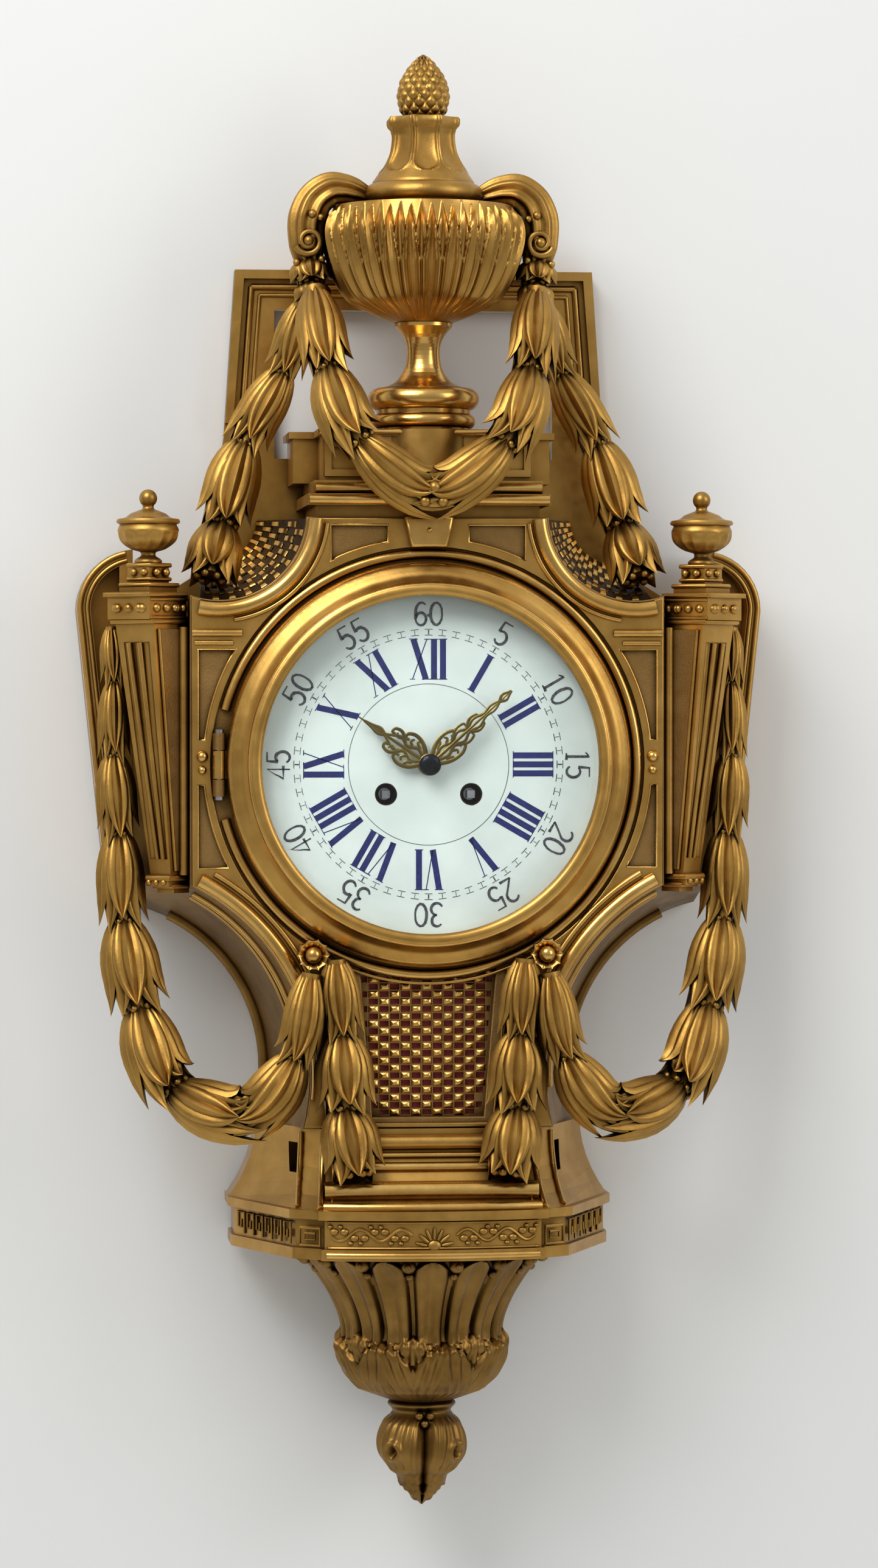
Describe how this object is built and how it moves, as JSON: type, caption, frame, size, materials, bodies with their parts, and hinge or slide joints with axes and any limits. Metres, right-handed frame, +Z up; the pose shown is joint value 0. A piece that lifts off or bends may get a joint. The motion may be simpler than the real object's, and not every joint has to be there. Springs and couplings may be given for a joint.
{
  "type": "cartel clock",
  "caption": "Gilt bronze wall clock with an urn on top, laurel swags, a round enamel dial behind a hinged glazed bezel, a pierced apron and a bell-striking pendulum movement",
  "frame": {"origin": "centre of the hanging hole, on the wall plane", "axes": "+X the viewer's right, -Y out of the wall towards the viewer, +Z up"},
  "size_m": [0.31, 0.111, 0.6495],
  "materials": {
    "gilt_bronze": "mercury gilding, matt grounds with burnished mouldings",
    "gilt_brass": "pierced and gilt",
    "clock_brass": "grained clock brass",
    "bell_metal": "turned bell metal",
    "steel": "polished steel",
    "blued_steel": "dark blued steel",
    "white_enamel": "fired white enamel",
    "clear_glass": "clear convex glass",
    "red_silk": "plain silk backing"
  },
  "bodies": {
    "case": {"back_frame": "gilt_bronze", "case_front": "gilt_bronze", "case_walls": "gilt_bronze", "upper_grilles": "gilt_bronze", "apron_grille": "gilt_bronze", "pilaster_left": "gilt_bronze", "pilaster_right": "gilt_bronze", "corner_urn_left": "gilt_bronze", "corner_urn_right": "gilt_bronze", "side_wing_left": "gilt_bronze", "side_wing_right": "gilt_bronze", "pedestal": "gilt_bronze", "urn_socle": "gilt_bronze", "urn_bowl": "gilt_bronze", "urn_cover": "gilt_bronze", "pinecone_finial": "gilt_bronze", "urn_handle_left": "gilt_bronze", "urn_handle_right": "gilt_bronze", "crest_swag": "gilt_bronze", "shoulder_swag_left": "gilt_bronze", "shoulder_swag_right": "gilt_bronze", "side_swag_left": "gilt_bronze", "side_swag_right": "gilt_bronze", "apron_drop_left": "gilt_bronze", "apron_drop_right": "gilt_bronze", "swag_buttons": "gilt_bronze", "waist": "gilt_bronze", "frieze": "gilt_bronze", "culot": "gilt_bronze", "bottom_finial": "gilt_bronze", "grille_silk": "red_silk", "urn_tie_rod": "steel", "dial": "white_enamel", "hinge_pin": "clock_brass", "front_plate": "clock_brass", "back_plate": "clock_brass", "plate_pillars": "clock_brass", "mounting_lugs": "clock_brass", "lug_screws": "steel", "suspension_cock": "clock_brass", "bell": "bell_metal"},
    "bezel_door": {"bezel": "gilt_bronze", "bezel_glass": "clear_glass"},
    "minute_works": {"minute_hand": "gilt_brass", "hand_nut": "blued_steel", "cannon_pinion": "clock_brass"},
    "hour_works": {"hour_hand": "gilt_brass", "hour_wheel": "clock_brass"},
    "motion_wheel": {"minute_wheel": "clock_brass"},
    "centre_arbor": {"centre_wheel": "clock_brass"},
    "third_arbor": {"third_wheel": "clock_brass"},
    "escape_arbor": {"escape_wheel": "clock_brass"},
    "going_drum": {"going_barrel": "clock_brass"},
    "strike_drum": {"strike_barrel": "clock_brass"},
    "going_square": {"going_arbor": "steel"},
    "strike_square": {"strike_arbor": "steel"},
    "pin_arbor": {"pin_wheel": "clock_brass"},
    "pallet_arbor": {"pallets": "steel"},
    "pendulum_body": {"pendulum": "clock_brass"},
    "hammer_body": {"hammer": "steel"}
  },
  "joints": [
    {"name": "bezel_hinge", "type": "hinge", "parent": "case", "child": "bezel_door", "pos_m": [-0.0932, -0.082, -0.216], "axis": [0, 0, -1], "range_deg": [0, 95]},
    {"name": "minute_spin", "type": "hinge", "parent": "case", "child": "minute_works", "pos_m": [0, -0.05, -0.216], "axis": [0, 1, 0], "continuous": true},
    {"name": "hour_spin", "type": "hinge", "parent": "case", "child": "hour_works", "pos_m": [0, -0.05, -0.216], "axis": [0, 1, 0], "continuous": true},
    {"name": "motion_spin", "type": "hinge", "parent": "case", "child": "motion_wheel", "pos_m": [0, -0.05, -0.204], "axis": [0, 1, 0], "continuous": true},
    {"name": "third_spin", "type": "hinge", "parent": "case", "child": "third_arbor", "pos_m": [0.00602, -0.05, -0.19946], "axis": [0, 1, 0], "continuous": true},
    {"name": "centre_spin", "type": "hinge", "parent": "case", "child": "centre_arbor", "pos_m": [0, -0.05, -0.216], "axis": [0, 1, 0], "continuous": true},
    {"name": "escape_spin", "type": "hinge", "parent": "case", "child": "escape_arbor", "pos_m": [0, -0.05, -0.1862], "axis": [0, 1, 0], "continuous": true},
    {"name": "going_spin", "type": "hinge", "parent": "case", "child": "going_drum", "pos_m": [0.019, -0.05, -0.2292], "axis": [0, 1, 0], "continuous": true},
    {"name": "pin_spin", "type": "hinge", "parent": "case", "child": "pin_arbor", "pos_m": [-0.02691, -0.05, -0.20746], "axis": [0, 1, 0], "continuous": true},
    {"name": "strike_spin", "type": "hinge", "parent": "case", "child": "strike_drum", "pos_m": [-0.019, -0.05, -0.2292], "axis": [0, 1, 0], "continuous": true},
    {"name": "going_wind", "type": "hinge", "parent": "case", "child": "going_square", "pos_m": [0.019, -0.05, -0.2292], "axis": [0, 1, 0], "continuous": true},
    {"name": "strike_wind", "type": "hinge", "parent": "case", "child": "strike_square", "pos_m": [-0.019, -0.05, -0.2292], "axis": [0, 1, 0], "continuous": true},
    {"name": "pendulum_swing", "type": "hinge", "parent": "case", "child": "pendulum_body", "pos_m": [0, -0.031, -0.1732], "axis": [0, 1, 0], "range_deg": [-4, 4]},
    {"name": "pallet_swing", "type": "hinge", "parent": "case", "child": "pallet_arbor", "pos_m": [0, -0.05, -0.1732], "axis": [0, 1, 0], "range_deg": [-4, 4]},
    {"name": "hammer_lift", "type": "hinge", "parent": "case", "child": "hammer_body", "pos_m": [-0.03956, -0.034, -0.23836], "axis": [0, -1, 0], "range_deg": [0, 14], "stiffness_Nm_per_rad": 0.02, "springref_deg": -8.59}
  ],
  "couplings": [
    {"joint": "motion_spin", "follows": "minute_spin", "ratio": -0.33333},
    {"joint": "hour_spin", "follows": "minute_spin", "ratio": 0.083333},
    {"joint": "centre_spin", "follows": "third_spin", "ratio": -0.1},
    {"joint": "escape_spin", "follows": "third_spin", "ratio": -12},
    {"joint": "going_spin", "follows": "third_spin", "ratio": 0.014286},
    {"joint": "strike_spin", "follows": "pin_spin", "ratio": -0.14286},
    {"joint": "pallet_swing", "follows": "pendulum_swing", "ratio": 1}
  ]
}
